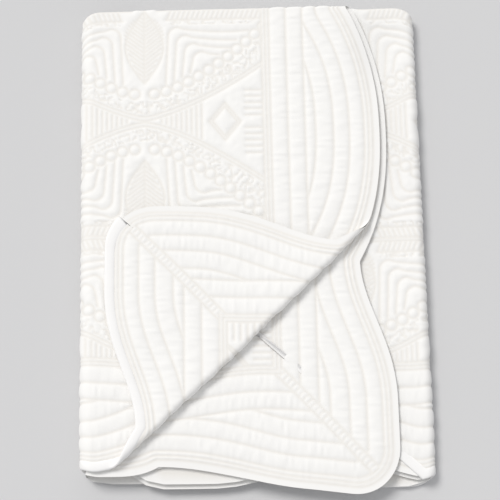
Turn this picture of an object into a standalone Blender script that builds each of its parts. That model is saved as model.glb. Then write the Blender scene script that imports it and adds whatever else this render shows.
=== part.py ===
"""A white quilted coverlet with a scalloped, bound edge, folded up as a bundle.

The cloth is doubled crosswise, with its far edge as the fold, and the doubled cloth is then folded
in thirds like a letter. One corner of the uppermost sheet is turned back over a slanting fold.

Every piece is drawn flat first, in flat places u and v, and one function folds it. The flat place u
runs across the cloth from the free edge of the top third, and v runs along it from the near edge of
the upper sheet, over the crosswise fold, to the near edge of the lower sheet.
"""

import math

import bmesh
import bpy
from mathutils import Vector

# The flat cloth, between the outermost points of its lobes
CLOTH_WIDTH = 1.145
CLOTH_LENGTH = 1.18

# Thickness of the quilted sheet between its seams and on them, and its pitch in the stack
CROWN = 0.0036
SEAM = 0.0016
SHEET_PITCH = 0.0054

# The scalloped edge: each side has a lobe at each corner and two between
CORNER_LOBE = 0.273
CORNER_CREST = 0.105
CORNER_POWER = 1.2
SIDE_POWER = 2.4
SCALLOP_DEPTH = 0.037
CORNER_RADIUS = 0.058

# The bound edge, and the gap between the binding and the sheet
BINDING_WIDTH = 0.012
PIECE_GAP = 0.0003

# The quilted border, and where its lines stop echoing the scallops and run straight
BORDER_WIDTH = 0.136
ECHO_END = 0.0955

# Lines of the quilted border, by their distance from the outermost points of the lobes
BORDER_LINES = (
    {"inset": BINDING_WIDTH + PIECE_GAP, "thickness": SEAM},
    {"inset": 0.0220, "thickness": SEAM},
    {"inset": 0.0310, "thickness": CROWN},
    {"inset": 0.0400, "thickness": SEAM},
    {"inset": 0.0495, "thickness": CROWN},
    {"inset": 0.0590, "thickness": SEAM},
    {"inset": 0.0695, "thickness": CROWN},
    {"inset": 0.0800, "thickness": SEAM},
    {"inset": ECHO_END, "thickness": SEAM},
    {"inset": 0.1050, "thickness": CROWN},
    {"inset": 0.1145, "thickness": SEAM},
    {"inset": 0.1250, "thickness": CROWN},
    {"inset": BORDER_WIDTH, "thickness": SEAM},
)
HIDDEN_BORDER_LINES = (
    {"inset": BINDING_WIDTH + PIECE_GAP, "thickness": SEAM},
    {"inset": 0.0495, "thickness": CROWN},
    {"inset": BORDER_WIDTH, "thickness": SEAM},
)

# Widths of the cells between the border and the folds, in the cloth's middle
FIELD_CELL = 0.0255
HIDDEN_CELL = 0.050
DIMPLE_PITCH = 0.051
DIMPLE_DEPTH = 0.3

# The binding's section, from its outer roll to the seam beside the sheet
BINDING_SECTION = (
    {"inset": 0.0000, "thickness": 0.0010},
    {"inset": 0.0030, "thickness": CROWN},
    {"inset": 0.0090, "thickness": CROWN},
    {"inset": BINDING_WIDTH, "thickness": SEAM},
)

# The bundle's outer sides, and the free edge of the top third
LEFT_SIDE_X = -0.2035
RIGHT_SIDE_X = 0.206
TOP_EDGE_X = 0.161
FAR_SIDE_Y = 0.290

# Heights of the middle of the doubled cloth in the three thirds
BASE_Z = (CROWN + SHEET_PITCH) / 2
INNER_Z = BASE_Z + 2 * SHEET_PITCH
TOP_Z = INNER_Z + 2 * SHEET_PITCH
LEFT_RADIUS = (TOP_Z - BASE_Z) / 2
RIGHT_RADIUS = (INNER_Z - BASE_Z) / 2
HALF_PITCH = SHEET_PITCH / 2
LEFT_FOLD_X = LEFT_SIDE_X + LEFT_RADIUS + HALF_PITCH + CROWN / 2
RIGHT_FOLD_X = RIGHT_SIDE_X - RIGHT_RADIUS - HALF_PITCH - CROWN / 2
FAR_FOLD_Y = FAR_SIDE_Y - HALF_PITCH - CROWN / 2
LEFT_FOLD_STEPS = 6
RIGHT_FOLD_STEPS = 4
FAR_FOLD_STEPS = 4

# Where the stretches of the letter fold start, along u
LEFT_FOLD_START = TOP_EDGE_X - LEFT_FOLD_X
BASE_START = LEFT_FOLD_START + math.pi * LEFT_RADIUS
RIGHT_FOLD_START = BASE_START + RIGHT_FOLD_X - LEFT_FOLD_X
INNER_START = RIGHT_FOLD_START + math.pi * RIGHT_RADIUS

# Where the crosswise fold starts and ends, along v
FAR_FOLD_START = (CLOTH_LENGTH - math.pi * HALF_PITCH) / 2
FAR_FOLD_END = CLOTH_LENGTH - FAR_FOLD_START

# The near edge lies a little askew: the y of each sheet's crown line along u
NEAR_EDGE = (
    {"u": 0.000, "upper": -0.312, "lower": -0.316},
    {"u": 0.160, "upper": -0.300, "lower": -0.301},
    {"u": 0.270, "upper": -0.291, "lower": -0.314},
    {"u": 0.360, "upper": -0.284, "lower": -0.292},
    {"u": 0.780, "upper": -0.299, "lower": -0.303},
    {"u": CLOTH_WIDTH, "upper": -0.295, "lower": -0.300},
)
LOWER_SHEET_SLIP = 0.008
SLIP_LENGTH = 0.30

# The turned-back corner: two flat places on its fold, and the radius of its roll
FLAP_FOLD_LEFT = Vector((0.3046, 0.0340))
FLAP_FOLD_RIGHT = Vector((0.0440, 0.2930))
FLAP_RADIUS = 0.004
FLAP_SETTLE = 0.0022
FLAP_SETTLE_LENGTH = 0.06
FLAP_ROLL_STEPS = 4
FLAP_ZONE = 0.36

# The middle of the bundle's box, which becomes the origin
MIDDLE_X = 0.00125
MIDDLE_Y = -0.01096

# The bundle's corners are a little round
SIDE_PULL = 0.010
SIDE_PULL_REACH = 0.026

# How the bundle's height varies over it, as a share: soft rises and dips with a place and a spread
LOFT = 1.06
LOFT_SPOTS = (
    {"x": 0.000, "y": 0.120, "spread_x": 0.150, "spread_y": 0.120, "rise": 0.05},
    {"x": -0.120, "y": -0.120, "spread_x": 0.080, "spread_y": 0.090, "rise": 0.06},
    {"x": 0.162, "y": 0.222, "spread_x": 0.026, "spread_y": 0.055, "rise": -0.22},
    {"x": 0.170, "y": 0.284, "spread_x": 0.050, "spread_y": 0.020, "rise": 0.16},
    {"x": 0.194, "y": 0.060, "spread_x": 0.020, "spread_y": 0.250, "rise": 0.10},
    {"x": 0.150, "y": -0.290, "spread_x": 0.070, "spread_y": 0.030, "rise": -0.10},
    {"x": -0.030, "y": -0.285, "spread_x": 0.060, "spread_y": 0.025, "rise": -0.08},
    {"x": -0.170, "y": 0.260, "spread_x": 0.050, "spread_y": 0.060, "rise": -0.07},
)


def smooth_step(share):
    """Eases from 0 to 1 as share goes from 0 to 1."""
    share = min(max(share, 0.0), 1.0)
    return share * share * (3 - 2 * share)


def scallop(along, length):
    """Returns how far a side's edge draws in from its crown line, at a place along that side."""
    along = max(min(along, length - along), 0.0)
    if along < CORNER_LOBE:
        share = max(along - CORNER_CREST, 0.0) / (CORNER_LOBE - CORNER_CREST)
        return SCALLOP_DEPTH * (1 - math.cos(math.pi * share ** CORNER_POWER)) / 2
    half_lobe = (length / 2 - CORNER_LOBE) / 2
    share = abs(along - CORNER_LOBE - half_lobe) / half_lobe
    return SCALLOP_DEPTH * min(share, 1.0) ** SIDE_POWER


def echo_share(inset):
    """Returns how much of the scallop a border line follows: all at the edge, none past the echoes."""
    return min(max(1 - (inset - BINDING_WIDTH) / (ECHO_END - BINDING_WIDTH), 0.0), 1.0)


def draw_in(along, across, length, width):
    """Returns an across place moved by the scallops of the two sides that it lies between."""
    depth = scallop(along, length)
    return across + depth * (echo_share(across) - echo_share(width - across))


def round_corner(u, v):
    """Rounds the four corners of the cloth: squares around a corner's inner point get round corners."""
    side_u = 1 if u < CLOTH_WIDTH / 2 else -1
    side_v = 1 if v < CLOTH_LENGTH / 2 else -1
    from_u = BORDER_WIDTH - (u if side_u > 0 else CLOTH_WIDTH - u)
    from_v = BORDER_WIDTH - (v if side_v > 0 else CLOTH_LENGTH - v)
    if from_u <= 0 or from_v <= 0:
        return u, v
    size = max(from_u, from_v)
    radius = CORNER_RADIUS * size / BORDER_WIDTH
    straight = size - radius
    length = min(from_u, from_v) / size * (straight + radius * math.pi / 4)
    angle = max(length - straight, 0.0) / radius
    far = straight + radius * math.cos(angle)
    near = min(length, straight) + radius * math.sin(angle)
    round_u, round_v = (far, near) if from_u > from_v else (near, far)
    return u + side_u * (from_u - round_u), v + side_v * (from_v - round_v)


def shape_edge(u, v):
    """Turns a place on a plain rectangle of cloth into its place on the scalloped cloth."""
    scalloped_u = draw_in(v, u, CLOTH_LENGTH, CLOTH_WIDTH)
    scalloped_v = draw_in(u, v, CLOTH_WIDTH, CLOTH_LENGTH)
    return round_corner(scalloped_u, scalloped_v)


def near_edge(u, sheet):
    """Returns the y of a sheet's near crown line, at a place across the cloth."""
    for left, right in zip(NEAR_EDGE, NEAR_EDGE[1:]):
        if u <= right["u"]:
            share = smooth_step((u - left["u"]) / (right["u"] - left["u"]))
            return left[sheet] + share * (right[sheet] - left[sheet])
    return NEAR_EDGE[-1][sheet]


def turn_back_corner(u, v, rise):
    """Rolls the cloth past the slanting fold up and back: rise is the height over mid-sheet."""
    along = (FLAP_FOLD_RIGHT - FLAP_FOLD_LEFT).normalized()
    outward = Vector((-along.y, along.x))
    beyond = (Vector((u, v)) - FLAP_FOLD_LEFT).dot(outward) + FLAP_RADIUS
    if beyond <= 0 or v > FLAP_ZONE or u > FLAP_ZONE:
        return u, v, rise
    start = Vector((u, v)) - beyond * outward
    angle = min(beyond / FLAP_RADIUS, math.pi)
    back = beyond - angle * FLAP_RADIUS
    reach = (FLAP_RADIUS - rise) * math.sin(angle) - back
    settle = FLAP_SETTLE * smooth_step(back / FLAP_SETTLE_LENGTH)
    height = FLAP_RADIUS - (FLAP_RADIUS - rise) * math.cos(angle) - settle
    place = start + reach * outward
    return place.x, place.y, height


def crosswise_fold(u, v, rise):
    """Returns y and the height over the middle of the doubled cloth."""
    if v <= FAR_FOLD_START:
        edge = near_edge(u, "upper")
        return edge + (FAR_FOLD_Y - edge) * v / FAR_FOLD_START, HALF_PITCH + rise
    if v < FAR_FOLD_END:
        angle = (v - FAR_FOLD_START) / HALF_PITCH
        radius = HALF_PITCH + rise
        return FAR_FOLD_Y + radius * math.sin(angle), radius * math.cos(angle)
    edge = near_edge(u, "lower")
    share = (v - FAR_FOLD_END) / (CLOTH_LENGTH - FAR_FOLD_END)
    return FAR_FOLD_Y + (edge - FAR_FOLD_Y) * share, -HALF_PITCH - rise


def letter_fold(u, height):
    """Returns x and z, at a height outward from the middle of the doubled cloth."""
    if u <= LEFT_FOLD_START:
        return TOP_EDGE_X - u, TOP_Z + height
    if u < BASE_START:
        angle = (u - LEFT_FOLD_START) / LEFT_RADIUS
        radius = LEFT_RADIUS + height
        return LEFT_FOLD_X - radius * math.sin(angle), (TOP_Z + BASE_Z) / 2 + radius * math.cos(angle)
    if u <= RIGHT_FOLD_START:
        return LEFT_FOLD_X + u - BASE_START, BASE_Z - height
    if u < INNER_START:
        angle = (u - RIGHT_FOLD_START) / RIGHT_RADIUS
        radius = RIGHT_RADIUS + height
        return RIGHT_FOLD_X + radius * math.sin(angle), (BASE_Z + INNER_Z) / 2 - radius * math.cos(angle)
    return RIGHT_FOLD_X - (u - INNER_START), INNER_Z + height


def pull_at_side(x, y):
    """Returns y drawn towards the middle near the bundle's sides, which rounds its four corners."""
    to_side = min(x - LEFT_SIDE_X, RIGHT_SIDE_X - x)
    closeness = max(1 - to_side / SIDE_PULL_REACH, 0.0)
    return y - SIDE_PULL * closeness ** 2 * (y / FAR_SIDE_Y) ** 3


def loft(x, y):
    """Returns how much taller than its flat stack the bundle is at a place."""
    share = LOFT
    for spot in LOFT_SPOTS:
        across = (x - spot["x"]) / spot["spread_x"]
        along = (y - spot["y"]) / spot["spread_y"]
        share += spot["rise"] * math.exp(-across * across - along * along)
    return share


def folded_place(u, v, rise):
    """Returns where a flat place of the cloth lies in the bundle, rise above mid-sheet."""
    u, v, rise = turn_back_corner(u, v, rise)
    y, height = crosswise_fold(u, v, rise)
    x, z = letter_fold(u, height)
    lower_share = smooth_step((v - FAR_FOLD_START) / (FAR_FOLD_END - FAR_FOLD_START))
    x += LOWER_SHEET_SLIP * lower_share * (1 - smooth_step(u / SLIP_LENGTH))
    return Vector((x - MIDDLE_X, pull_at_side(x, y) - MIDDLE_Y, z * loft(x, y)))


def evenly(start, end, cell):
    """Returns places between start and end, neither of them included, about a cell apart."""
    count = max(round((end - start) / cell), 1)
    return [start + (end - start) * step / count for step in range(1, count)]


def cloth_lines(length, near, far, stretches):
    """Returns the mesh lines across one direction: both borders and the stretches between them."""
    lines = [row["inset"] for row in near]
    for start, end, cell in stretches:
        lines += evenly(start, end, cell) + [end]
    lines += [length - row["inset"] for row in reversed(far[:-1])]
    return lines


def width_lines():
    """Returns the u of every mesh line, finest where the cloth is seen or bends."""
    hidden_border = CLOTH_WIDTH - BORDER_WIDTH
    left_cell = math.pi * LEFT_RADIUS / LEFT_FOLD_STEPS
    right_cell = math.pi * RIGHT_RADIUS / RIGHT_FOLD_STEPS
    stretches = (
        (BORDER_WIDTH, CORNER_LOBE, FIELD_CELL),
        (CORNER_LOBE, LEFT_FOLD_START, FIELD_CELL),
        (LEFT_FOLD_START, BASE_START, left_cell),
        (BASE_START, CLOTH_WIDTH / 2, HIDDEN_CELL),
        (CLOTH_WIDTH / 2, RIGHT_FOLD_START, HIDDEN_CELL),
        (RIGHT_FOLD_START, INNER_START, right_cell),
        (INNER_START, CLOTH_WIDTH - CORNER_LOBE, FIELD_CELL),
        (CLOTH_WIDTH - CORNER_LOBE, hidden_border, HIDDEN_CELL),
    )
    return cloth_lines(CLOTH_WIDTH, BORDER_LINES, HIDDEN_BORDER_LINES, stretches)


def length_lines():
    """Returns the v of every mesh line."""
    far_cell = math.pi * HALF_PITCH / FAR_FOLD_STEPS
    stretches = (
        (BORDER_WIDTH, CORNER_LOBE, FIELD_CELL),
        (CORNER_LOBE, FAR_FOLD_START, FIELD_CELL),
        (FAR_FOLD_START, FAR_FOLD_END, far_cell),
        (FAR_FOLD_END, CLOTH_LENGTH - CORNER_LOBE, HIDDEN_CELL),
        (CLOTH_LENGTH - CORNER_LOBE, CLOTH_LENGTH - BORDER_WIDTH, HIDDEN_CELL),
    )
    return cloth_lines(CLOTH_LENGTH, BORDER_LINES, BORDER_LINES, stretches)


def border_thickness(inset):
    """Returns the cloth's thickness on the border line that lies at this inset."""
    nearest = min(BORDER_LINES, key=lambda row: abs(row["inset"] - inset))
    return nearest["thickness"]


def sheet_thickness(u, v):
    """Returns the thickness at a place: the border's lines run around the edge and meet in mitres."""
    inset = min(u, CLOTH_WIDTH - u, v, CLOTH_LENGTH - v)
    if inset <= BORDER_WIDTH:
        return border_thickness(inset)
    wave = math.cos(2 * math.pi * u / DIMPLE_PITCH) * math.cos(2 * math.pi * v / DIMPLE_PITCH)
    return CROWN * (1 - DIMPLE_DEPTH * (1 - wave) / 2)


def flat_sheet():
    """Returns the quilted sheet drawn flat, with each point's half thickness as its height."""
    flat = bmesh.new()
    columns = width_lines()
    rows = length_lines()
    grid = []
    for u in columns:
        column = []
        for v in rows:
            edge_u, edge_v = shape_edge(u, v)
            column.append(flat.verts.new((edge_u, edge_v, sheet_thickness(u, v) / 2)))
        grid.append(column)
    for left, right in zip(grid, grid[1:]):
        for step in range(len(rows) - 1):
            flat.faces.new((left[step], right[step], right[step + 1], left[step + 1]))
    return flat


def ring_places(inset):
    """Returns the plain rectangle's places around the cloth at an inset, one for each mesh line."""
    right = CLOTH_WIDTH - inset
    top = CLOTH_LENGTH - inset
    columns = width_lines()[1:-1]
    rows = length_lines()[1:-1]
    places = [(inset, inset)] + [(u, inset) for u in columns]
    places += [(right, inset)] + [(right, v) for v in rows]
    places += [(right, top)] + [(u, top) for u in reversed(columns)]
    places += [(inset, top)] + [(inset, v) for v in reversed(rows)]
    return places


def flat_binding():
    """Returns the binding drawn flat as a ring around the cloth, like the sheet."""
    flat = bmesh.new()
    rings = []
    for row in BINDING_SECTION:
        places = [shape_edge(u, v) for u, v in ring_places(row["inset"])]
        rings.append([flat.verts.new((u, v, row["thickness"] / 2)) for u, v in places])
    for outer, inner in zip(rings, rings[1:]):
        for step, start in enumerate(outer):
            end = (step + 1) % len(outer)
            flat.faces.new((start, outer[end], inner[end], inner[step]))
    return flat


def crease_corner(flat):
    """Cuts mesh lines across the flat cloth where the turned-back corner rolls over."""
    along = (FLAP_FOLD_RIGHT - FLAP_FOLD_LEFT).normalized()
    outward = Vector((-along.y, along.x))
    for step in range(FLAP_ROLL_STEPS + 1):
        beyond = FLAP_RADIUS * (math.pi * step / FLAP_ROLL_STEPS - 1)
        place = FLAP_FOLD_LEFT + beyond * outward
        faces = [face for face in flat.faces if max(face.calc_center_median().xy) < FLAP_ZONE]
        edges = {edge for face in faces for edge in face.edges}
        corners = {vert for face in faces for vert in face.verts}
        bmesh.ops.bisect_plane(
            flat,
            geom=faces + list(edges) + list(corners),
            dist=1e-5,
            plane_co=(place.x, place.y, 0),
            plane_no=(outward.x, outward.y, 0),
        )


def outward_rise(u, v, half):
    """Returns the outer face's height over mid-sheet, which is even where the cloth rests."""
    rests = BASE_START < u < RIGHT_FOLD_START and v < FAR_FOLD_START
    return max(half, CROWN / 2) if rests else half


def fold_up(name, flat, resting):
    """Gives the flat piece its thickness, folds it and returns it as a closed object."""
    crease_corner(flat)
    bmesh.ops.triangulate(flat, faces=list(flat.faces))
    solid = bmesh.new()
    outer = {}
    inner = {}
    for vert in flat.verts:
        u, v, half = vert.co
        top = outward_rise(u, v, half) if resting else half
        outer[vert] = solid.verts.new(folded_place(u, v, top))
        inner[vert] = solid.verts.new(folded_place(u, v, -half))
    for face in flat.faces:
        solid.faces.new([outer[vert] for vert in face.verts])
        solid.faces.new([inner[vert] for vert in reversed(face.verts)])
    for edge in flat.edges:
        if edge.is_boundary:
            start, end = edge.verts
            solid.faces.new((outer[start], outer[end], inner[end], inner[start]))
    bmesh.ops.triangulate(solid, faces=list(solid.faces))
    bmesh.ops.recalc_face_normals(solid, faces=list(solid.faces))
    mesh = bpy.data.meshes.new(name)
    solid.to_mesh(mesh)
    flat.free()
    solid.free()
    mesh.shade_smooth()
    piece = bpy.data.objects.new(name, mesh)
    bpy.context.collection.objects.link(piece)
    return piece


def cotton(name, colour, roughness):
    """Returns a plain cotton material."""
    material = bpy.data.materials.new(name)
    material.use_nodes = True
    shader = material.node_tree.nodes["Principled BSDF"]
    shader.inputs["Base Color"].default_value = (*colour, 1.0)
    shader.inputs["Roughness"].default_value = roughness
    shader.inputs["Metallic"].default_value = 0.0
    return material


def make_coverlet():
    """Makes the quilted sheet."""
    coverlet = fold_up("coverlet", flat_sheet(), resting=True)
    coverlet.data.materials.append(cotton("quilted cotton", (0.86, 0.85, 0.82), 0.85))


def make_binding():
    """Makes the binding that is sewn around the sheet's whole edge."""
    binding = fold_up("binding", flat_binding(), resting=False)
    binding.data.materials.append(cotton("bias cut cotton", (0.88, 0.87, 0.84), 0.8))


def main():
    for leftover in list(bpy.data.objects):
        bpy.data.objects.remove(leftover)
    make_coverlet()
    make_binding()


main()
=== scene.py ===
"""A white quilted coverlet with a scalloped, bound edge, folded up as a bundle on a pale floor.

The cloth is doubled crosswise and then folded in thirds like a letter, and one corner of its
uppermost sheet is turned back. Every piece is drawn flat first, in flat places u and v: u runs
across the cloth from the free edge of the top third, and v runs along it from the near edge of the
upper sheet, over the crosswise fold, to the near edge of the lower sheet. One function folds it.
"""

import math

import bpy
import numpy as np
from mathutils import Matrix, Vector
from mathutils.kdtree import KDTree


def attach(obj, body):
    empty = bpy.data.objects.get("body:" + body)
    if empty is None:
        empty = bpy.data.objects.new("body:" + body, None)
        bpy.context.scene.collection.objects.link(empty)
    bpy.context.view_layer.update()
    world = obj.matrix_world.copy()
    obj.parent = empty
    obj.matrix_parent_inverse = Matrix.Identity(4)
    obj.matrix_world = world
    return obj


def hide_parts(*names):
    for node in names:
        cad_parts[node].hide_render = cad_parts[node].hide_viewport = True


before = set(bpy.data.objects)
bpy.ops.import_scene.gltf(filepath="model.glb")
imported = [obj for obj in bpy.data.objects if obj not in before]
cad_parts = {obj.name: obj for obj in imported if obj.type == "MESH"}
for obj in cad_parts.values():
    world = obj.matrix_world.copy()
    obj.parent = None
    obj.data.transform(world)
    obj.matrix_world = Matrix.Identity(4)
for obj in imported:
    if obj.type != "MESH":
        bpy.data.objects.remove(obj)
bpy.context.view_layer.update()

bl_info = {
    "name": "Folded quilted coverlet",
    "version": (1, 0, 0),
    "blender": (4, 5, 0),
    "location": "3D View > Sidebar > Coverlet",
    "description": "Makes a folded white coverlet, quilted and bound, with its floor, lights and camera",
    "category": "Object",
}

# The flat cloth, between the outermost points of its lobes
CLOTH_WIDTH = 1.145
CLOTH_LENGTH = 1.18

# Thickness of the quilted sheet on its seams and where it rests, and its pitch in the stack
SEAM = 0.0016
RESTING = 0.0036
SHEET_PITCH = 0.0054

# The scalloped edge: each side has a lobe at each corner and two between
CORNER_LOBE = 0.273
CORNER_CREST = 0.105
CORNER_POWER = 1.2
SIDE_POWER = 2.4
SCALLOP_DEPTH = 0.037
CORNER_RADIUS = 0.058
BINDING_WIDTH = 0.012
BORDER_WIDTH = 0.136
ECHO_END = 0.0955

# The bundle's outer sides, and the free edge of the top third
LEFT_SIDE_X = -0.2035
RIGHT_SIDE_X = 0.206
TOP_EDGE_X = 0.161
FAR_SIDE_Y = 0.290

# Heights of the middle of the doubled cloth in the three thirds, and the folds between them
BASE_Z = (RESTING + SHEET_PITCH) / 2
INNER_Z = BASE_Z + 2 * SHEET_PITCH
TOP_Z = INNER_Z + 2 * SHEET_PITCH
LEFT_RADIUS = (TOP_Z - BASE_Z) / 2
RIGHT_RADIUS = (INNER_Z - BASE_Z) / 2
HALF_PITCH = SHEET_PITCH / 2
LEFT_FOLD_X = LEFT_SIDE_X + LEFT_RADIUS + HALF_PITCH + RESTING / 2
RIGHT_FOLD_X = RIGHT_SIDE_X - RIGHT_RADIUS - HALF_PITCH - RESTING / 2
FAR_FOLD_Y = FAR_SIDE_Y - HALF_PITCH - RESTING / 2

# Where the stretches of the letter fold start, along u, and the crosswise fold's ends, along v
LEFT_FOLD_START = TOP_EDGE_X - LEFT_FOLD_X
BASE_START = LEFT_FOLD_START + math.pi * LEFT_RADIUS
RIGHT_FOLD_START = BASE_START + RIGHT_FOLD_X - LEFT_FOLD_X
INNER_START = RIGHT_FOLD_START + math.pi * RIGHT_RADIUS
FAR_FOLD_START = (CLOTH_LENGTH - math.pi * HALF_PITCH) / 2
FAR_FOLD_END = CLOTH_LENGTH - FAR_FOLD_START

# The near edge lies a little askew: the y of each sheet's crown line along u
NEAR_EDGE = (
    {"u": 0.000, "upper": -0.312, "lower": -0.316},
    {"u": 0.160, "upper": -0.300, "lower": -0.301},
    {"u": 0.270, "upper": -0.291, "lower": -0.314},
    {"u": 0.360, "upper": -0.284, "lower": -0.292},
    {"u": 0.780, "upper": -0.299, "lower": -0.303},
    {"u": CLOTH_WIDTH, "upper": -0.295, "lower": -0.300},
)
LOWER_SHEET_SLIP = 0.008
SLIP_LENGTH = 0.30

# The turned-back corner: two flat places on its fold, and the radius of its roll
FLAP_FOLD_LEFT = Vector((0.3046, 0.0340))
FLAP_FOLD_RIGHT = Vector((0.0440, 0.2930))
FLAP_ALONG = (FLAP_FOLD_RIGHT - FLAP_FOLD_LEFT).normalized()
FLAP_OUTWARD = Vector((-FLAP_ALONG.y, FLAP_ALONG.x))
FLAP_RADIUS = 0.004
FLAP_SETTLE = 0.0022
FLAP_SETTLE_LENGTH = 0.06
FLAP_ZONE = 0.36

# The middle of the bundle's box, which is the origin
MIDDLE_X = 0.00125
MIDDLE_Y = -0.01096

# The bundle's corners are a little round
SIDE_PULL = 0.010
SIDE_PULL_REACH = 0.026

# How the bundle's height varies over it, as a share: soft rises and dips with a place and a spread
LOFT = 1.06
LOFT_SPOTS = (
    {"x": 0.000, "y": 0.120, "spread_x": 0.150, "spread_y": 0.120, "rise": 0.05},
    {"x": -0.120, "y": -0.120, "spread_x": 0.080, "spread_y": 0.090, "rise": 0.06},
    {"x": 0.162, "y": 0.222, "spread_x": 0.026, "spread_y": 0.055, "rise": -0.22},
    {"x": 0.170, "y": 0.284, "spread_x": 0.050, "spread_y": 0.020, "rise": 0.16},
    {"x": 0.194, "y": 0.060, "spread_x": 0.020, "spread_y": 0.250, "rise": 0.10},
    {"x": 0.150, "y": -0.290, "spread_x": 0.070, "spread_y": 0.030, "rise": -0.10},
    {"x": -0.030, "y": -0.285, "spread_x": 0.060, "spread_y": 0.025, "rise": -0.08},
    {"x": -0.170, "y": 0.260, "spread_x": 0.050, "spread_y": 0.060, "rise": -0.07},
)

# Stitched lines of the border: some echo the scalloped edge at a distance, others run straight
ECHO_LINES = (0.0165, 0.022, 0.040, 0.059, 0.0805)
STRAIGHT_LINES = (0.093, 0.1135, 0.134, 0.1385, 0.143)
ECHO_LIMIT = 0.093
FRAME_INSET = 0.143
MITRE_HALF_WIDTH = 0.0055
MITRE_RIB_PITCH = 0.006

# The quilted field repeats a tile that is mirrored about its middle, both ways
TILE_WIDTH = CLOTH_WIDTH / 4
TILE_LENGTH = 0.298
TILE_MIDDLE_U = CLOTH_WIDTH / 2
TILE_MIDDLE_V = CLOTH_LENGTH / 2 - TILE_LENGTH / 2

# Motifs of a quarter of the tile, in mm from its middle
TILE_EDGE = 143
LEAF_START = 50
LEAF_LENGTH = 96
LEAF_HALF_WIDTH = 23
CHEVRON_PITCH = 5.5
CHAIN_START = 12.0
CHAIN_END = 146
BEAD_RADIUS = 6.6
BEAD_PITCH = 14.5
CORNER_RIBS = (
    {"across": 29, "top": 124},
    {"across": 39, "top": 113},
    {"across": 49, "top": 102},
    {"across": 59, "top": 91},
)
CORNER_RIB_RADIUS = 12
FAN_PITCH = 6
ROPE_START = 134
ROPE_END = 147
ROPE_PITCH = 6

# Fine and coarse puckers: lengths along and across the border's channels, and over the field
FINE_BORDER_PUCKER = {"along": 0.0036, "across": 0.013}
COARSE_BORDER_PUCKER = {"along": 0.009, "across": 0.02}
FINE_FIELD_PUCKER = 0.0055
COARSE_FIELD_PUCKER = 0.013

# The stipple: the size of its wandering lines' cells, and how far apart two lines lie
STIPPLE_CELL = 0.0042
STIPPLE_GAP = 0.006

# How fast the cloth rises from a seam, and how wide the painted shade along a seam is
PUFF_POWER = 1.3
SEAM_SHADE = 0.0017

# Points along each side of the tables that the soft noise is read from
NOISE_POINTS = 256

# Mesh cells before they are divided, and how often the seen cloth's cells are halved
CELL = 0.012
BASE_CELL = 0.022
HALVINGS = 3

# sRGB colours
COTTON_COLOUR = "F4F3F1"
# The seam colour is painted shade: a darker, warmer white laid into the seams, where shade falls
PAINTED_SEAM_SHADE_COLOUR = "EDEAE5"
BINDING_COLOUR = "F6F5F4"
FLOOR_COLOUR = "D1D1D2"
SUN_COLOUR = "FFFDFA"
SKY_COLOUR = "FCFDFF"


def linear_colour(code):
    """Turns a six-figure sRGB colour into linear red, green and blue."""
    levels = [int(code[place:place + 2], 16) / 255 for place in (0, 2, 4)]
    return [level / 12.92 if level <= 0.04045 else ((level + 0.055) / 1.055) ** 2.4 for level in levels]


class CoverletSizes(bpy.types.PropertyGroup):
    """Sizes of the quilting and the bound edge."""

    crown: bpy.props.FloatProperty(
        name="Crown",
        description="Thickness of the quilted sheet between its seams, on the sides that show",
        default=0.0046,
        min=0.002,
        max=0.006,
        unit="LENGTH",
    )
    puff_reach: bpy.props.FloatProperty(
        name="Puff reach",
        description="How far from a seam the cloth has risen by two thirds",
        default=0.0033,
        min=0.001,
        max=0.01,
        unit="LENGTH",
    )
    pucker: bpy.props.FloatProperty(
        name="Pucker height",
        description="Height of the small puckers that the stitching draws up",
        default=0.00045,
        min=0.0,
        max=0.001,
        unit="LENGTH",
    )
    binding_crown: bpy.props.FloatProperty(
        name="Binding thickness",
        description="Thickness of the folded binding over the edge",
        default=0.0040,
        min=0.002,
        max=0.006,
        unit="LENGTH",
    )


class CoverletColours(bpy.types.PropertyGroup):
    """Colours of the cotton, and of the painted shade in its seams."""

    cotton: bpy.props.FloatVectorProperty(
        name="Cotton",
        description="Colour of the quilted cotton",
        default=linear_colour(COTTON_COLOUR),
        min=0.0,
        max=1.0,
        subtype="COLOR",
    )
    # Painted shade: the darker, warmer colour mixed into the cotton down in the seams
    seam: bpy.props.FloatVectorProperty(
        name="Seam",
        description="Colour of the cotton down in the seams",
        default=linear_colour(PAINTED_SEAM_SHADE_COLOUR),
        min=0.0,
        max=1.0,
        subtype="COLOR",
    )
    binding: bpy.props.FloatVectorProperty(
        name="Binding",
        description="Colour of the bias cut binding",
        default=linear_colour(BINDING_COLOUR),
        min=0.0,
        max=1.0,
        subtype="COLOR",
    )


class StageSettings(bpy.types.PropertyGroup):
    """Floor and lights."""

    floor: bpy.props.FloatVectorProperty(
        name="Floor",
        description="Colour of the floor",
        default=linear_colour(FLOOR_COLOUR),
        min=0.0,
        max=1.0,
        subtype="COLOR",
    )
    sun_strength: bpy.props.FloatProperty(
        name="Window light",
        description="Strength of the broad light that falls from the upper left",
        default=1.75,
        min=0.0,
    )
    sky_strength: bpy.props.FloatProperty(
        name="Sky strength",
        description="Strength of the even light from all around",
        default=0.60,
        min=0.0,
    )


def smooth_step(share):
    """Eases from 0 to 1 as share goes from 0 to 1."""
    share = np.clip(share, 0.0, 1.0)
    return share * share * (3 - 2 * share)


def scallop(along, length):
    """Returns how far a side's edge draws in from its crown line, at places along that side."""
    along = np.maximum(np.minimum(along, length - along), 0.0)
    share = np.clip((along - CORNER_CREST) / (CORNER_LOBE - CORNER_CREST), 0.0, 1.0)
    corner = SCALLOP_DEPTH * (1 - np.cos(np.pi * share ** CORNER_POWER)) / 2
    half_lobe = (length / 2 - CORNER_LOBE) / 2
    share = np.minimum(abs(along - CORNER_LOBE - half_lobe) / half_lobe, 1.0)
    return np.where(along < CORNER_LOBE, corner, SCALLOP_DEPTH * share ** SIDE_POWER)


def echo_share(inset):
    """Returns how much of the scallop a line follows: all at the edge, none past the echoes."""
    return np.clip(1 - (inset - BINDING_WIDTH) / (ECHO_END - BINDING_WIDTH), 0.0, 1.0)


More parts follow.
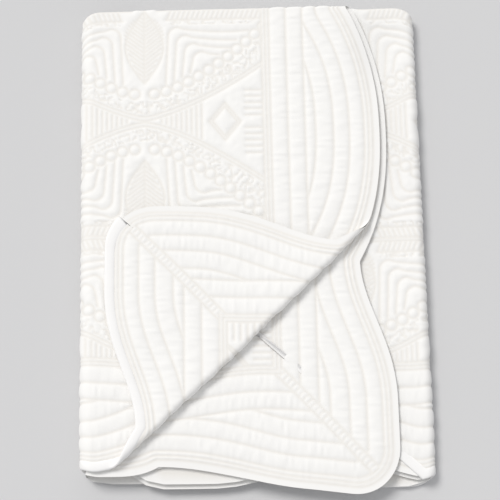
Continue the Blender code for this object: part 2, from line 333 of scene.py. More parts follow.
def draw_in(along, across, length, width):
    """Returns across places moved by the scallops of the two sides that they lie between."""
    return across + scallop(along, length) * (echo_share(across) - echo_share(width - across))


def round_corner(u, v):
    """Rounds the four corners of the cloth: squares around a corner's inner point get round corners."""
    side_u = np.where(u < CLOTH_WIDTH / 2, 1, -1)
    side_v = np.where(v < CLOTH_LENGTH / 2, 1, -1)
    from_u = BORDER_WIDTH - np.where(side_u > 0, u, CLOTH_WIDTH - u)
    from_v = BORDER_WIDTH - np.where(side_v > 0, v, CLOTH_LENGTH - v)
    size = np.maximum(np.maximum(from_u, from_v), 1e-9)
    radius = CORNER_RADIUS * size / BORDER_WIDTH
    straight = size - radius
    length = np.minimum(from_u, from_v) / size * (straight + radius * np.pi / 4)
    angle = np.maximum(length - straight, 0.0) / radius
    far = straight + radius * np.cos(angle)
    near = np.minimum(length, straight) + radius * np.sin(angle)
    shift_u = side_u * (from_u - np.where(from_u > from_v, far, near))
    shift_v = side_v * (from_v - np.where(from_u > from_v, near, far))
    corner = (from_u > 0) & (from_v > 0)
    return u + np.where(corner, shift_u, 0.0), v + np.where(corner, shift_v, 0.0)


def shape_edge(u, v):
    """Turns places on a plain rectangle of cloth into their places on the scalloped cloth."""
    scalloped_u = draw_in(v, u, CLOTH_LENGTH, CLOTH_WIDTH)
    scalloped_v = draw_in(u, v, CLOTH_WIDTH, CLOTH_LENGTH)
    return round_corner(scalloped_u, scalloped_v)


def near_edge(u, sheet):
    """Returns the y of a sheet's near crown line, at places across the cloth."""
    found = np.full_like(u, NEAR_EDGE[-1][sheet])
    for left, right in reversed(list(zip(NEAR_EDGE, NEAR_EDGE[1:]))):
        share = smooth_step((u - left["u"]) / (right["u"] - left["u"]))
        found = np.where(u <= right["u"], left[sheet] + share * (right[sheet] - left[sheet]), found)
    return found


def beyond_flap_fold(u, v):
    """Returns how far places lie past the slanting fold of the turned-back corner."""
    return (u - FLAP_FOLD_LEFT.x) * FLAP_OUTWARD.x + (v - FLAP_FOLD_LEFT.y) * FLAP_OUTWARD.y


def turn_back_corner(u, v, rise):
    """Rolls the cloth past the slanting fold up and back: rise is the height over mid-sheet."""
    beyond = beyond_flap_fold(u, v) + FLAP_RADIUS
    turned = (beyond > 0) & (v < FLAP_ZONE) & (u < FLAP_ZONE)
    angle = np.clip(beyond / FLAP_RADIUS, 0.0, np.pi)
    back = beyond - angle * FLAP_RADIUS
    reach = (FLAP_RADIUS - rise) * np.sin(angle) - back - beyond
    settle = FLAP_SETTLE * smooth_step(back / FLAP_SETTLE_LENGTH)
    height = FLAP_RADIUS - (FLAP_RADIUS - rise) * np.cos(angle) - settle
    turned_u = np.where(turned, u + reach * FLAP_OUTWARD.x, u)
    turned_v = np.where(turned, v + reach * FLAP_OUTWARD.y, v)
    return turned_u, turned_v, np.where(turned, height, rise)


def crosswise_fold(u, v, rise):
    """Returns y and the height over the middle of the doubled cloth."""
    upper_edge = near_edge(u, "upper")
    lower_edge = near_edge(u, "lower")
    upper_y = upper_edge + (FAR_FOLD_Y - upper_edge) * v / FAR_FOLD_START
    angle = np.clip((v - FAR_FOLD_START) / HALF_PITCH, 0.0, np.pi)
    radius = HALF_PITCH + rise
    share = (v - FAR_FOLD_END) / (CLOTH_LENGTH - FAR_FOLD_END)
    lower_y = FAR_FOLD_Y + (lower_edge - FAR_FOLD_Y) * share
    stretches = [v <= FAR_FOLD_START, v < FAR_FOLD_END]
    y = np.select(stretches, [upper_y, FAR_FOLD_Y + radius * np.sin(angle)], lower_y)
    height = np.select(stretches, [radius, radius * np.cos(angle)], -radius)
    return y, height


def letter_fold(u, height):
    """Returns x and z, at a height outward from the middle of the doubled cloth."""
    left_angle = np.clip((u - LEFT_FOLD_START) / LEFT_RADIUS, 0.0, np.pi)
    left = LEFT_RADIUS + height
    right_angle = np.clip((u - RIGHT_FOLD_START) / RIGHT_RADIUS, 0.0, np.pi)
    right = RIGHT_RADIUS + height
    stretches = [u <= LEFT_FOLD_START, u < BASE_START, u <= RIGHT_FOLD_START, u < INNER_START]
    x = np.select(
        stretches,
        [
            TOP_EDGE_X - u,
            LEFT_FOLD_X - left * np.sin(left_angle),
            LEFT_FOLD_X + u - BASE_START,
            RIGHT_FOLD_X + right * np.sin(right_angle),
        ],
        RIGHT_FOLD_X - (u - INNER_START),
    )
    z = np.select(
        stretches,
        [
            TOP_Z + height,
            (TOP_Z + BASE_Z) / 2 + left * np.cos(left_angle),
            BASE_Z - height,
            (BASE_Z + INNER_Z) / 2 - right * np.cos(right_angle),
        ],
        INNER_Z + height,
    )
    return x, z


def pull_at_side(x, y):
    """Returns y drawn towards the middle near the bundle's sides, which rounds its four corners."""
    to_side = np.minimum(x - LEFT_SIDE_X, RIGHT_SIDE_X - x)
    closeness = np.maximum(1 - to_side / SIDE_PULL_REACH, 0.0)
    return y - SIDE_PULL * closeness ** 2 * (y / FAR_SIDE_Y) ** 3


def loft(x, y):
    """Returns how much taller than its flat stack the bundle is at each place."""
    share = np.full_like(x, LOFT)
    for spot in LOFT_SPOTS:
        across = (x - spot["x"]) / spot["spread_x"]
        along = (y - spot["y"]) / spot["spread_y"]
        share += spot["rise"] * np.exp(-across * across - along * along)
    return share


def folded_places(u, v, rise):
    """Returns where flat places of the cloth lie in the bundle, rise above mid-sheet."""
    u, v, rise = turn_back_corner(u, v, rise)
    y, height = crosswise_fold(u, v, rise)
    x, z = letter_fold(u, height)
    lower_share = smooth_step((v - FAR_FOLD_START) / (FAR_FOLD_END - FAR_FOLD_START))
    x = x + LOWER_SHEET_SLIP * lower_share * (1 - smooth_step(u / SLIP_LENGTH))
    return np.stack((x - MIDDLE_X, pull_at_side(x, y) - MIDDLE_Y, z * loft(x, y)), axis=-1)


def soft_noise(x, y, seed):
    """Returns smooth noise from -1 to 1 whose lumps are about one unit wide."""
    table = np.random.default_rng(seed).uniform(-1, 1, (NOISE_POINTS, NOISE_POINTS))
    cell_x = np.floor(x).astype(int)
    cell_y = np.floor(y).astype(int)
    share_x = smooth_step(x - cell_x)
    share_y = smooth_step(y - cell_y)
    left = cell_x % NOISE_POINTS
    right = (cell_x + 1) % NOISE_POINTS
    low = cell_y % NOISE_POINTS
    high = (cell_y + 1) % NOISE_POINTS
    near = table[left, low] * (1 - share_x) + table[right, low] * share_x
    far = table[left, high] * (1 - share_x) + table[right, high] * share_x
    return near * (1 - share_y) + far * share_y


def straight_inset(u, v):
    """Returns the distance to the nearest of the straight lines that the lobes touch."""
    return np.minimum(np.minimum(u, CLOTH_WIDTH - u), np.minimum(v, CLOTH_LENGTH - v))


def edge_distance(u, v):
    """Returns each place's distance to the scalloped edge."""
    step = 0.001
    across = np.arange(0, CLOTH_WIDTH, step)
    along = np.arange(0, CLOTH_LENGTH, step)
    plain_u = np.concatenate((across, across, np.zeros_like(along), np.full_like(along, CLOTH_WIDTH)))
    plain_v = np.concatenate((np.zeros_like(across), np.full_like(across, CLOTH_LENGTH), along, along))
    edge_u, edge_v = shape_edge(plain_u, plain_v)
    tree = KDTree(len(edge_u))
    for index, place in enumerate(zip(edge_u, edge_v)):
        tree.insert((*place, 0.0), index)
    tree.balance()
    found = np.full(len(u), 1.0)
    for index in np.flatnonzero(straight_inset(u, v) < FRAME_INSET):
        found[index] = tree.find((u[index], v[index], 0.0))[2]
    return found


def bent_line(places):
    """Returns the stretches between neighbouring places, as rows of two ends."""
    places = np.asarray(places, dtype=float)
    return np.concatenate((places[:-1], places[1:]), axis=1)


def leaf_width(along):
    """Returns the leaf's half width in mm, at places in mm along it."""
    return LEAF_HALF_WIDTH * np.sin(np.pi * np.clip((along - LEAF_START) / LEAF_LENGTH, 0.0, 1.0))


def chain_height(across):
    """Returns where the chain of beads runs over the tile, in mm."""
    return 36 + 76 * np.clip((across - 12) / 122, 0.0, 1.2) ** 1.5


def arc_height(across):
    """Returns where the double line below the beads runs over the tile, in mm."""
    return 4 + 71 * (across / TILE_EDGE) ** 1.4


def leaf_lines():
    """Returns the leaf's outline, its spine and its chevron ribs."""
    leaf_end = LEAF_START + LEAF_LENGTH
    along = np.linspace(LEAF_START, leaf_end, 25)
    lines = [bent_line(np.stack((leaf_width(along), along), axis=1))]
    lines.append(bent_line([(0, LEAF_START), (0, leaf_end)]))
    for start in np.arange(52, 140, CHEVRON_PITCH):
        width = leaf_width(start + 5)
        lines.append(bent_line([(0, start), (width, start + 0.8 * width)]))
    return lines


def corner_rib_lines():
    """Returns the nested ribs with round corners, down to the chain of beads."""
    lines = []
    radius = CORNER_RIB_RADIUS
    angles = np.linspace(0, math.pi / 2, 6)[1:]
    for start in CORNER_RIBS:
        across = start["across"]
        bend = start["top"] - radius
        rib = [(across - 3, chain_height(across) + 9), (across, bend)]
        rib += [
            (across + radius - radius * math.cos(angle), bend + radius * math.sin(angle))
            for angle in angles
        ]
        rib += [
            (place, start["top"] - 7 * math.sin((place - across) / 45))
            for place in range(across + 20, TILE_EDGE + 2, 6)
        ]
        rib = [place for place in rib if place[1] > chain_height(place[0]) + 8]
        lines.append(bent_line(rib))
    return lines


def bead_lines():
    """Returns the chain of round beads."""
    lines = []
    angles = np.linspace(0, 2 * math.pi, 15)
    place = CHAIN_START
    while place < CHAIN_END:
        middle = chain_height(place)
        lines.append(bent_line([
            (place + BEAD_RADIUS * math.cos(angle), middle + BEAD_RADIUS * math.sin(angle))
            for angle in angles
        ]))
        slope = chain_height(place + 1) - middle
        place += BEAD_PITCH / math.hypot(1, slope)
    return lines


def fan_lines():
    """Returns the double arc, the ribs and bars that fill it, and the diamond's quarter."""
    lines = []
    across = np.linspace(0, TILE_EDGE, 25)
    for drop in (0, 5):
        lines.append(bent_line(np.stack((across, arc_height(across) - drop + 2), axis=1)))
    for place in range(21, 74, FAN_PITCH):
        lines.append(bent_line([(place, 0), (place, arc_height(place) - 7)]))
    lines.append(bent_line([(78, 0), (97, 24), (116, 0)]))
    lines.append(bent_line([(82, 0), (97, 19), (112, 0)]))
    for place in (8, 16, 24, 32, 40):
        lines.append(bent_line([(122, place), (TILE_EDGE, place)]))
    return lines


def rope_lines():
    """Returns the band of slanting ribs at the tile's end."""
    lines = [bent_line([(27, ROPE_START), (TILE_EDGE, ROPE_START)])]
    lines.append(bent_line([(16, ROPE_END), (TILE_EDGE, ROPE_END)]))
    for place in range(28, TILE_EDGE, ROPE_PITCH):
        lines.append(bent_line([(place, ROPE_START), (place + 5, ROPE_END)]))
    return lines


def tile_lines():
    """Returns the stitched stretches of a quarter of the tile, in metres from its middle."""
    lines = leaf_lines() + corner_rib_lines() + bead_lines() + fan_lines() + rope_lines()
    return np.concatenate(lines) / 1000


def line_distance(a, b, lines):
    """Returns each place's distance to the nearest of the stitched stretches."""
    found = np.empty(len(a))
    start = lines[:, 0:2]
    run = lines[:, 2:4] - start
    squares = (run * run).sum(axis=1)
    for first in range(0, len(a), 4000):
        place = np.stack((a[first:first + 4000], b[first:first + 4000]), axis=1)[:, None, :] - start
        share = np.clip((place * run).sum(axis=2) / squares, 0.0, 1.0)
        gap = place - share[:, :, None] * run
        found[first:first + 4000] = np.sqrt((gap * gap).sum(axis=2).min(axis=1))
    return found


def border_seams(u, v, edge):
    """Returns the distance to the nearest stitched line of the border."""
    inset = straight_inset(u, v)
    found = np.abs(edge - BINDING_WIDTH)
    for line in ECHO_LINES:
        found = np.where(inset < ECHO_LIMIT, np.minimum(found, np.abs(edge - line)), found)
    for line in STRAIGHT_LINES:
        found = np.minimum(found, np.abs(inset - line))
    from_u = np.minimum(u, CLOTH_WIDTH - u)
    from_v = np.minimum(v, CLOTH_LENGTH - v)
    off_mitre = np.abs(from_u - from_v) / math.sqrt(2)
    along_mitre = (from_u + from_v) / math.sqrt(2)
    ribs = np.abs((along_mitre / MITRE_RIB_PITCH) % 1 - 0.5) * MITRE_RIB_PITCH
    band = (off_mitre < MITRE_HALF_WIDTH) & (edge > 0.022) & (inset < 0.134)
    found = np.where(band, np.minimum(MITRE_HALF_WIDTH - off_mitre, ribs + 0.0007), found)
    beside = np.where(edge > 0.022, np.abs(off_mitre - MITRE_HALF_WIDTH), 1.0)
    return np.where(inset < 0.134, np.minimum(found, beside), found)


def field_seams(u, v):
    """Returns the distance to the nearest stitched line of the field, and how much stipple it has."""
    a = np.abs((u - TILE_MIDDLE_U + TILE_WIDTH / 2) % TILE_WIDTH - TILE_WIDTH / 2)
    b = np.abs((v - TILE_MIDDLE_V + TILE_LENGTH / 2) % TILE_LENGTH - TILE_LENGTH / 2)
    found = line_distance(a, b, tile_lines())
    below_chain = chain_height(a * 1000) - 9 - b * 1000
    over_arc = b * 1000 - arc_height(a * 1000) - 4
    stipple = smooth_step(below_chain / 3) * smooth_step(over_arc / 3)
    before_rope = smooth_step((b * 1000 - 126) / 3) * smooth_step((ROPE_START - b * 1000) / 2)
    stipple += before_rope * (a > 0.03)
    return found, np.clip(stipple, 0.0, 1.0)


def quilt(u, v, sizes):
    """Returns the half thickness of the quilted sheet, and how much painted shade each place gets from
    how deep it lies in a seam.
    """
    inset = straight_inset(u, v)
    edge = edge_distance(u, v)
    seam = border_seams(u, v, edge)
    stipple = np.zeros_like(u)
    field = inset >= FRAME_INSET
    tile_seam, tile_stipple = field_seams(u[field], v[field])
    seam[field] = np.minimum(tile_seam, inset[field] - FRAME_INSET)
    stipple[field] = tile_stipple
    wander = soft_noise(u / STIPPLE_CELL, v / STIPPLE_CELL, 3)
    stipple_seam = np.abs(wander) * STIPPLE_GAP
    seam = np.where(stipple > 0.5, np.minimum(seam, stipple_seam), seam)
    puff = 1 - np.exp(-(seam / sizes.puff_reach) ** PUFF_POWER)
    from_side = np.minimum(u, CLOTH_WIDTH - u) < np.minimum(v, CLOTH_LENGTH - v)
    along = np.where(from_side, v, u)
    across = np.where(from_side, u, v)
    fine = FINE_BORDER_PUCKER
    coarse = COARSE_BORDER_PUCKER
    border_pucker = soft_noise(along / fine["along"], across / fine["across"], 5)
    border_pucker += 0.6 * soft_noise(along / coarse["along"], across / coarse["across"], 6)
    field_pucker = soft_noise(u / FINE_FIELD_PUCKER, v / FINE_FIELD_PUCKER, 7)
    field_pucker += 0.5 * soft_noise(u / COARSE_FIELD_PUCKER, v / COARSE_FIELD_PUCKER, 8)
    pucker = np.where(field, 0.7 * field_pucker, border_pucker) * sizes.pucker * (0.25 + 0.75 * puff)
    half = SEAM / 2 + (sizes.crown - SEAM) / 2 * puff + pucker
    tucked = edge < BINDING_WIDTH + 0.0005
    half = np.where(tucked, SEAM / 2, half)
    # The second value is the mask of the painted shade in the seams
    return half, np.exp(-(seam / SEAM_SHADE) ** 2)


def evenly(start, end, cell):
    """Returns places from start, which isn't included, to end, about a cell apart."""
    count = max(round((end - start) / cell), 1)
    return [start + (end - start) * step / count for step in range(1, count + 1)]


def line_places(stretches):
    """Returns the places of all mesh lines over stretches of start, end and cell."""
    places = [stretches[0][0]]
    for start, end, cell in stretches:
        places += evenly(start, end, cell)
    return np.array(places)


def cloth_columns():
    """Returns the u of the mesh lines before they are divided."""
    rim = BINDING_WIDTH / 3
    return line_places((
        (rim, LEFT_FOLD_START, CELL),
        (LEFT_FOLD_START, BASE_START, CELL),
        (BASE_START, RIGHT_FOLD_START, BASE_CELL),
        (RIGHT_FOLD_START, INNER_START, CELL * 0.75),
        (INNER_START, INNER_START + 0.06, CELL),
        (INNER_START + 0.06, CLOTH_WIDTH - rim, BASE_CELL),
    ))


def cloth_rows():
    """Returns the v of the mesh lines before they are divided."""
    rim = BINDING_WIDTH / 3
    return line_places((
        (rim, FAR_FOLD_START, CELL),
        (FAR_FOLD_START, FAR_FOLD_END, CELL / 3),
        (FAR_FOLD_END, CLOTH_LENGTH - rim, CELL),
    ))


def add_flat_cloth(name):
    """Adds a grid whose lines lie at the cloth's columns and rows, flat."""
    columns = cloth_columns()
    rows = cloth_rows()
    bpy.ops.object.select_all(action="DESELECT")
    bpy.ops.mesh.primitive_grid_add(
        x_subdivisions=len(columns) - 1,
        y_subdivisions=len(rows) - 1,
        size=1,
        calc_uvs=False,
        location=(0, 0, 0),
    )
    cloth = bpy.context.object
    cloth.name = name
    cloth.data.name = name
    places = read_places(cloth)
    column = np.rint((places[:, 0] + 0.5) * (len(columns) - 1)).astype(int)
    row = np.rint((places[:, 1] + 0.5) * (len(rows) - 1)).astype(int)
    write_places(cloth, np.stack((columns[column], rows[row], np.zeros(len(column))), axis=1))
    return cloth


def read_places(piece):
    """Returns the places of a piece's points."""
    places = np.empty(len(piece.data.vertices) * 3)
    piece.data.vertices.foreach_get("co", places)
    return places.reshape(-1, 3)


def write_places(piece, places):
    """Moves a piece's points."""
    piece.data.vertices.foreach_set("co", places.ravel())
    piece.data.update()


def divide_seen_faces(cloth, is_seen):
    """Halves the cells of the flat cloth where it is seen, several times, in narrowing zones."""
    mesh = cloth.data
    bpy.context.tool_settings.mesh_select_mode = (False, False, True)
    for halving in range(HALVINGS):
        middles = np.empty(len(mesh.polygons) * 3)
        mesh.polygons.foreach_get("center", middles)
        middles = middles.reshape(-1, 3)
        margin = 0.012 * (HALVINGS - 1 - halving)
        seen = is_seen(middles[:, 0], middles[:, 1], margin)
        mesh.vertices.foreach_set("select", np.zeros(len(mesh.vertices), dtype=bool))
        mesh.edges.foreach_set("select", np.zeros(len(mesh.edges), dtype=bool))
        mesh.polygons.foreach_set("select", seen)
        bpy.ops.object.mode_set(mode="EDIT")
        bpy.ops.mesh.subdivide(number_cuts=1)
        bpy.ops.object.mode_set(mode="OBJECT")
    bpy.ops.object.mode_set(mode="EDIT")
    bpy.ops.mesh.select_all(action="DESELECT")
    bpy.ops.mesh.select_face_by_sides(number=4, type="GREATER")
    bpy.ops.mesh.quads_convert_to_tris()
    bpy.ops.object.mode_set(mode="OBJECT")


def face_is_seen(u, v, margin):
    """Tells where the outer face of the cloth shows."""
    beyond = beyond_flap_fold(u, v)
    mirror_u = u - 2 * beyond * FLAP_OUTWARD.x
    mirror_v = v - 2 * beyond * FLAP_OUTWARD.y
    under_flap = (beyond < -0.01 - margin) & (straight_inset(mirror_u, mirror_v) > 0.03 + margin)
    under_flap &= (mirror_u < FLAP_ZONE) & (mirror_v < FLAP_ZONE)
    turned = (beyond > 0.012 + margin) & (u < FLAP_ZONE) & (v < FLAP_ZONE)
    top = (u < BASE_START + margin) & ~under_flap & ~turned
    strip = (u > RIGHT_FOLD_START - margin) & (u < INNER_START + 0.056 + margin)
    return (v < FAR_FOLD_END + margin) & (top | strip)


def back_is_seen(u, v, margin):
    """Tells where the inner face of the cloth shows."""
    flap = (beyond_flap_fold(u, v) > -0.012 - margin) & (u < FLAP_ZONE) & (v < FLAP_ZONE)
    end_v = CLOTH_LENGTH - v
    lobe = (beyond_flap_fold(u, end_v) > -0.03 - margin) & (u < FLAP_ZONE) & (end_v < FLAP_ZONE)
    ribbon = (u < 0.045 + margin) & (v > FAR_FOLD_END - margin)
    return flap | lobe | ribbon


def lay_flat_map(piece, u, v):
    """Gives the piece a UV map of its flat places, in metres."""
    mesh = piece.data
    corners = np.empty(len(mesh.loops), dtype=int)
    mesh.loops.foreach_get("vertex_index", corners)
    layer = mesh.uv_layers.new(name="flat")
    layer.data.foreach_set("uv", np.stack((u[corners], v[corners]), axis=1).ravel())


def mark_points(piece, name, values):
    """Stores one number for each point of the piece."""
    attribute = piece.data.attributes.new(name, "FLOAT", "POINT")
    attribute.data.foreach_set("value", values.astype(np.float32))


def finish_piece(piece, nodes, material):
    """Rides the piece on the bundle, in the place of its CAD nodes, with its material."""
    piece.data.materials.append(material)
    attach(piece, "root")
    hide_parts(*nodes)


def add_node(tree, kind, settings=(), links=()):
    """Adds a node with its settings, and links of its input to another node's output."""
    node = tree.nodes.new(kind)
    for name, value in dict(settings).items():
        if isinstance(name, int) or name in node.inputs:
            node.inputs[name].default_value = value
        else:
            setattr(node, name, value)
    for target, source, output in links:
        tree.links.new(source.outputs[output], node.inputs[target])
    return node


def quilted_cotton(colours):
    """Washed cotton sateen, quilted: matt white, a fine weave, a soft sheen, and painted shade, darker
    and warmer, in its seams.
    """
    material = bpy.data.materials.new("washed quilted cotton")
    material.use_nodes = True
    tree = material.node_tree
    shader = tree.nodes["Principled BSDF"]
    flat = add_node(tree, "ShaderNodeUVMap", {"uv_map": "flat"})
    # The seam attribute carries the painted shade down in the seams
    seam = add_node(tree, "ShaderNodeAttribute", {"attribute_name": "seam"})
    # Yarns of the weave are about 0.3 mm apart; they are drawn 1.1 mm apart, as coarse as shows
    weave = add_node(
        tree,
        "ShaderNodeTexNoise",
        {"Scale": 900.0, "Detail": 2.0, "Roughness": 0.6},
        [("Vector", flat, "UV")],
    )
    # Slubs: soft thicker yarns some 12 mm apart
    slubs = add_node(
        tree,
        "ShaderNodeTexNoise",
        {"Scale": 85.0, "Detail": 3.0},
        [("Vector", flat, "UV")],
    )
    height = add_node(
        tree,
        "ShaderNodeMath",
        {"operation": "MULTIPLY_ADD", 1: 0.5},
        [(0, slubs, "Fac"), (2, weave, "Fac")],
    )
    bump = add_node(
        tree,
        "ShaderNodeBump",
        {"Strength": 0.25, "Distance": 0.0004},
        [("Height", height, "Value")],
    )
    # Painted shade: the seam attribute mixes the darker, warmer seam colour into the cotton
    colour = add_node(
        tree,
        "ShaderNodeMix",
        {"data_type": "RGBA"},
        [("Factor", seam, "Fac")],
    )
    colour.inputs[6].default_value = (*colours.cotton, 1.0)
    colour.inputs[7].default_value = (*colours.seam, 1.0)
    tree.links.new(colour.outputs[2], shader.inputs["Base Color"])
    tree.links.new(bump.outputs["Normal"], shader.inputs["Normal"])
    shader.inputs["Roughness"].default_value = 0.85
    shader.inputs["Specular IOR Level"].default_value = 0.25
    shader.inputs["Sheen Weight"].default_value = 0.12
    shader.inputs["Sheen Roughness"].default_value = 0.5
    return material


def binding_cotton(colours):
    """Plain cotton cut on the bias: smoother and a touch brighter than the quilting."""
    material = bpy.data.materials.new("bias cut cotton")
    material.use_nodes = True
    tree = material.node_tree
    shader = tree.nodes["Principled BSDF"]
    flat = add_node(tree, "ShaderNodeUVMap", {"uv_map": "flat"})
    # The weave lies at 45 degrees to the edge, and is drawn as coarse as it shows
    turned = add_node(
        tree,
        "ShaderNodeMapping",
        {"Rotation": (0.0, 0.0, math.radians(45))},
        [("Vector", flat, "UV")],
    )
    weave = add_node(
        tree,
        "ShaderNodeTexNoise",
        {"Scale": 900.0, "Detail": 2.0},
        [("Vector", turned, "Vector")],
    )
    bump = add_node(
        tree,
        "ShaderNodeBump",
        {"Strength": 0.2, "Distance": 0.0004},
        [("Height", weave, "Fac")],
    )
    tree.links.new(bump.outputs["Normal"], shader.inputs["Normal"])
    shader.inputs["Base Color"].default_value = (*colours.binding, 1.0)
    shader.inputs["Roughness"].default_value = 0.8
    shader.inputs["Specular IOR Level"].default_value = 0.25
    shader.inputs["Sheen Weight"].default_value = 0.1
    return material


def make_cloth(name, is_seen, side, scene):
    """Makes one face of the quilted sheet: side is 1 for its outer face and -1 for its inner one."""
    cloth = add_flat_cloth(name)
    divide_seen_faces(cloth, is_seen)
    plain = read_places(cloth)
    u, v = shape_edge(plain[:, 0], plain[:, 1])
    half, seam = quilt(u, v, scene.coverlet_sizes)
    hidden = ~is_seen(plain[:, 0], plain[:, 1], 0.02)
    half = np.where(hidden, np.minimum(half, RESTING / 2), half)
    resting = (u > BASE_START) & (u < RIGHT_FOLD_START) & (v < FAR_FOLD_START)
    if side > 0:
        half = np.where(resting, RESTING / 2, half)
    write_places(cloth, folded_places(u, v, side * half))
    lay_flat_map(cloth, u, v)
    # The seam attribute is the mask of the painted shade in the seams, which the material reads
    mark_points(cloth, "seam", seam)
    if side > 0:
        bpy.ops.object.mode_set(mode="EDIT")
        bpy.ops.mesh.select_all(action="SELECT")
        bpy.ops.mesh.flip_normals()
        bpy.ops.object.mode_set(mode="OBJECT")
    bpy.ops.object.shade_smooth()
    return cloth


class MakeFaceCloth(bpy.types.Operator):
    """Make the quilted face cloth, folded"""

    bl_idname = "coverlet.make_face_cloth"
    bl_label = "Make face cloth"

    def execute(self, context):
        cloth = make_cloth("face_cloth", face_is_seen, 1, context.scene)
        material = quilted_cotton(context.scene.coverlet_colours)
        finish_piece(cloth, ["coverlet"], material)
        return {"FINISHED"}


class MakeBackingCloth(bpy.types.Operator):
    """Make the quilted backing cloth, which the turned-back corner shows"""

    bl_idname = "coverlet.make_backing_cloth"
    bl_label = "Make backing cloth"

    def execute(self, context):
        cloth = make_cloth("backing_cloth", back_is_seen, -1, context.scene)
        material = quilted_cotton(context.scene.coverlet_colours)
        finish_piece(cloth, ["coverlet"], material)
        return {"FINISHED"}


# Points round the binding's section: their inset, their share of its thickness, and their face
BINDING_SECTION = (
    {"inset": 0.0000, "height": 0.45, "face": 1},
    {"inset": 0.0011, "height": 0.82, "face": 1},
    {"inset": 0.0030, "height": 1.00, "face": 1},
    {"inset": 0.0062, "height": 1.02, "face": 1},
    {"inset": 0.0092, "height": 0.90, "face": 1},
    {"inset": 0.0110, "height": 0.62, "face": 1},
    {"inset": 0.0120, "height": 0.30, "face": 1},
    {"inset": 0.0120, "height": 0.30, "face": -1},
    {"inset": 0.0110, "height": 0.62, "face": -1},
    {"inset": 0.0092, "height": 0.90, "face": -1},
    {"inset": 0.0062, "height": 1.02, "face": -1},
    {"inset": 0.0030, "height": 1.00, "face": -1},
    {"inset": 0.0011, "height": 0.82, "face": -1},
    {"inset": 0.0000, "height": 0.45, "face": -1},
)
BINDING_STEP = 0.0031
PUCKER_PITCH = 0.0072


def ring_stations():
    """Returns plain places on the rim as sides and shares, evenly round the cloth."""
    width_steps = round(CLOTH_WIDTH / BINDING_STEP)
    length_steps = round(CLOTH_LENGTH / BINDING_STEP)
    across = np.arange(width_steps) / width_steps
    along = np.arange(length_steps) / length_steps
    share_u = np.concatenate((across, np.ones(length_steps), 1 - across, np.zeros(length_steps)))
    share_v = np.concatenate((np.zeros(width_steps), along, np.ones(width_steps), 1 - along))
    return share_u, share_v


def make_binding(scene):
    """Makes the binding: a ring with a flattened section, moved onto the scalloped edge and folded.

    Blender keeps a torus to 256 segments, so the ring follows only that many of the stations.
    """
    share_u, share_v = ring_stations()
    count = len(share_u)
    bpy.ops.object.select_all(action="DESELECT")
    bpy.ops.mesh.primitive_torus_add(
        major_segments=count,
        minor_segments=len(BINDING_SECTION),
        generate_uvs=False,
        location=(0, 0, 0),
    )
    ring = bpy.context.object
    ring.name = "edge_binding"
    ring.data.name = "edge_binding"
    inset = np.array([point["inset"] for point in BINDING_SECTION])
    height = np.array([point["height"] for point in BINDING_SECTION])
    face = np.array([point["face"] for point in BINDING_SECTION])
    plain_u = inset + share_u[:, None] * (CLOTH_WIDTH - 2 * inset)
    plain_v = inset + share_v[:, None] * (CLOTH_LENGTH - 2 * inset)
    u, v = shape_edge(plain_u.ravel(), plain_v.ravel())
    rim_u = u.reshape(count, -1)[:, 0]
    rim_v = v.reshape(count, -1)[:, 0]
    steps = np.hypot(np.roll(rim_u, -1) - rim_u, np.roll(rim_v, -1) - rim_v)
    travel = np.concatenate(([0.0], np.cumsum(steps)[:-1]))
    pucker = np.sin(2 * np.pi * travel / PUCKER_PITCH + 2.2 * soft_noise(travel / 0.02, travel * 0, 11))
    lumps = soft_noise(travel / 0.011, travel * 0, 12)
    swell = (1 + 0.10 * pucker + 0.12 * lumps)[:, None]
    half = scene.coverlet_sizes.binding_crown / 2 * height * swell
    resting = (u > BASE_START) & (u < RIGHT_FOLD_START) & (v < FAR_FOLD_START)
    half = np.where(resting, np.minimum(half.ravel(), RESTING / 2), half.ravel())
    places = folded_places(u, v, half * np.tile(face, count))
    write_places(ring, places)
    lay_flat_map(ring, np.repeat(travel, len(inset)), np.tile(inset * face, count))
    bpy.ops.object.mode_set(mode="EDIT")
    bpy.ops.mesh.select_all(action="SELECT")
    bpy.ops.mesh.normals_make_consistent(inside=False)
    bpy.ops.object.mode_set(mode="OBJECT")
    bpy.ops.object.shade_smooth()
    return ring


class MakeBinding(bpy.types.Operator):
    """Make the bias binding sewn over the scalloped edge"""

    bl_idname = "coverlet.make_binding"
    bl_label = "Make binding"

    def execute(self, context):
        ring = make_binding(context.scene)
        finish_piece(ring, ["binding"], binding_cotton(context.scene.coverlet_colours))
        return {"FINISHED"}


# The camera looks down on the bundle from its near side, a little off the vertical
CAMERA_TARGET = Vector((-0.0032, -0.0001, 0.0))
CAMERA_DISTANCE = 1.8937
CAMERA_TILT = math.radians(15)
CAMERA_ROLL = 0.02274
CAMERA_LENS = 113.57

WINDOW_FROM = Vector((-0.50, 0.48, 1.0))
WINDOW_SPREAD = math.radians(24)
FLOOR_SIZE = 8.0


def painted_floor(settings):
    """Matt painted board: an even pale grey with a very faint mottle."""
    material = bpy.data.materials.new("matt painted board")
    material.use_nodes = True
    tree = material.node_tree
    shader = tree.nodes["Principled BSDF"]
    place = add_node(tree, "ShaderNodeTexCoord")
    mottle = add_node(
        tree,
        "ShaderNodeTexNoise",
        {"Scale": 6.0, "Detail": 2.0},
        [("Vector", place, "Object")],
    )
    bump = add_node(
        tree,
        "ShaderNodeBump",
        {"Strength": 0.02, "Distance": 0.001},
        [("Height", mottle, "Fac")],
    )
    tree.links.new(bump.outputs["Normal"], shader.inputs["Normal"])
    shader.inputs["Base Color"].default_value = (*settings.floor, 1.0)
    shader.inputs["Roughness"].default_value = 0.95
    shader.inputs["Specular IOR Level"].default_value = 0.1
    return material


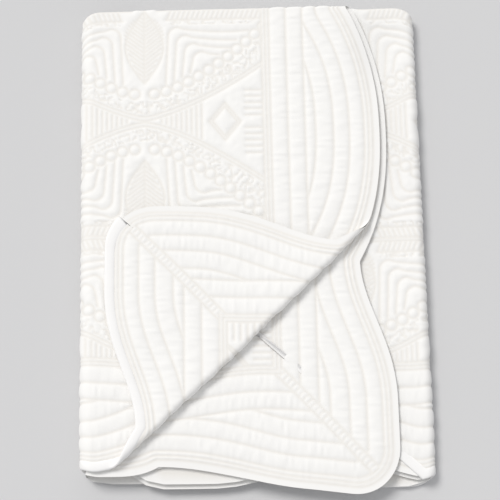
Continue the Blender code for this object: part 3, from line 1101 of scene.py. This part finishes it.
def add_camera():
    """Adds the camera, turned as the view on the bundle is."""
    tilt_up = Vector((0, math.cos(CAMERA_TILT), math.sin(CAMERA_TILT)))
    back = Vector((0, -math.sin(CAMERA_TILT), math.cos(CAMERA_TILT)))
    across = Vector((1, 0, 0))
    right = math.cos(CAMERA_ROLL) * across - math.sin(CAMERA_ROLL) * tilt_up
    up = math.sin(CAMERA_ROLL) * across + math.cos(CAMERA_ROLL) * tilt_up
    bpy.ops.object.camera_add()
    camera = bpy.context.object
    camera.name = "camera"
    camera.data.lens = CAMERA_LENS
    camera.data.sensor_width = 36
    turn = Matrix((right, up, back)).transposed().to_4x4()
    camera.matrix_world = Matrix.Translation(CAMERA_TARGET + CAMERA_DISTANCE * back) @ turn
    bpy.context.scene.camera = camera


class MakeStage(bpy.types.Operator):
    """Make the floor, the lights and the camera"""

    bl_idname = "coverlet.make_stage"
    bl_label = "Make stage"

    def execute(self, context):
        settings = context.scene.coverlet_stage
        bpy.ops.object.select_all(action="DESELECT")
        bpy.ops.mesh.primitive_plane_add(size=FLOOR_SIZE, location=(0, 0, 0))
        floor = context.object
        floor.name = "floor"
        floor.data.materials.append(painted_floor(settings))
        bpy.ops.object.light_add(type="SUN", location=2 * WINDOW_FROM)
        window = context.object
        window.name = "window_light"
        window.data.angle = WINDOW_SPREAD
        window.data.energy = settings.sun_strength
        window.data.color = linear_colour(SUN_COLOUR)
        window.rotation_euler = (-WINDOW_FROM).to_track_quat("-Z", "Y").to_euler()
        world = bpy.data.worlds.new("soft sky")
        world.use_nodes = True
        sky = world.node_tree.nodes["Background"]
        sky.inputs["Color"].default_value = (*linear_colour(SKY_COLOUR), 1.0)
        sky.inputs["Strength"].default_value = settings.sky_strength
        context.scene.world = world
        context.scene.view_settings.view_transform = "Standard"
        add_camera()
        return {"FINISHED"}


class CoverletPanel(bpy.types.Panel):
    """Lists the coverlet's pieces, sizes and colours"""

    bl_idname = "VIEW3D_PT_coverlet"
    bl_label = "Coverlet"
    bl_space_type = "VIEW_3D"
    bl_region_type = "UI"
    bl_category = "Coverlet"

    def draw(self, context):
        scene = context.scene
        for group in (scene.coverlet_sizes, scene.coverlet_colours, scene.coverlet_stage):
            for name in group.__annotations__:
                self.layout.prop(group, name)
        for operator in OPERATORS:
            self.layout.operator(operator.bl_idname)


OPERATORS = (MakeStage, MakeFaceCloth, MakeBackingCloth, MakeBinding)
GROUPS = (CoverletSizes, CoverletColours, StageSettings)


def register():
    """Registers the add-on's classes and hangs its settings on the scene."""
    for item in GROUPS + OPERATORS + (CoverletPanel,):
        bpy.utils.register_class(item)
    bpy.types.Scene.coverlet_sizes = bpy.props.PointerProperty(type=CoverletSizes)
    bpy.types.Scene.coverlet_colours = bpy.props.PointerProperty(type=CoverletColours)
    bpy.types.Scene.coverlet_stage = bpy.props.PointerProperty(type=StageSettings)


def unregister():
    """Takes the settings and classes away again."""
    del bpy.types.Scene.coverlet_stage
    del bpy.types.Scene.coverlet_colours
    del bpy.types.Scene.coverlet_sizes
    for item in reversed(GROUPS + OPERATORS + (CoverletPanel,)):
        bpy.utils.unregister_class(item)


def main():
    """Makes the stage and every piece."""
    register()
    bpy.ops.coverlet.make_stage()
    bpy.ops.coverlet.make_face_cloth()
    bpy.ops.coverlet.make_backing_cloth()
    bpy.ops.coverlet.make_binding()


if __name__ == "__main__":
    main()
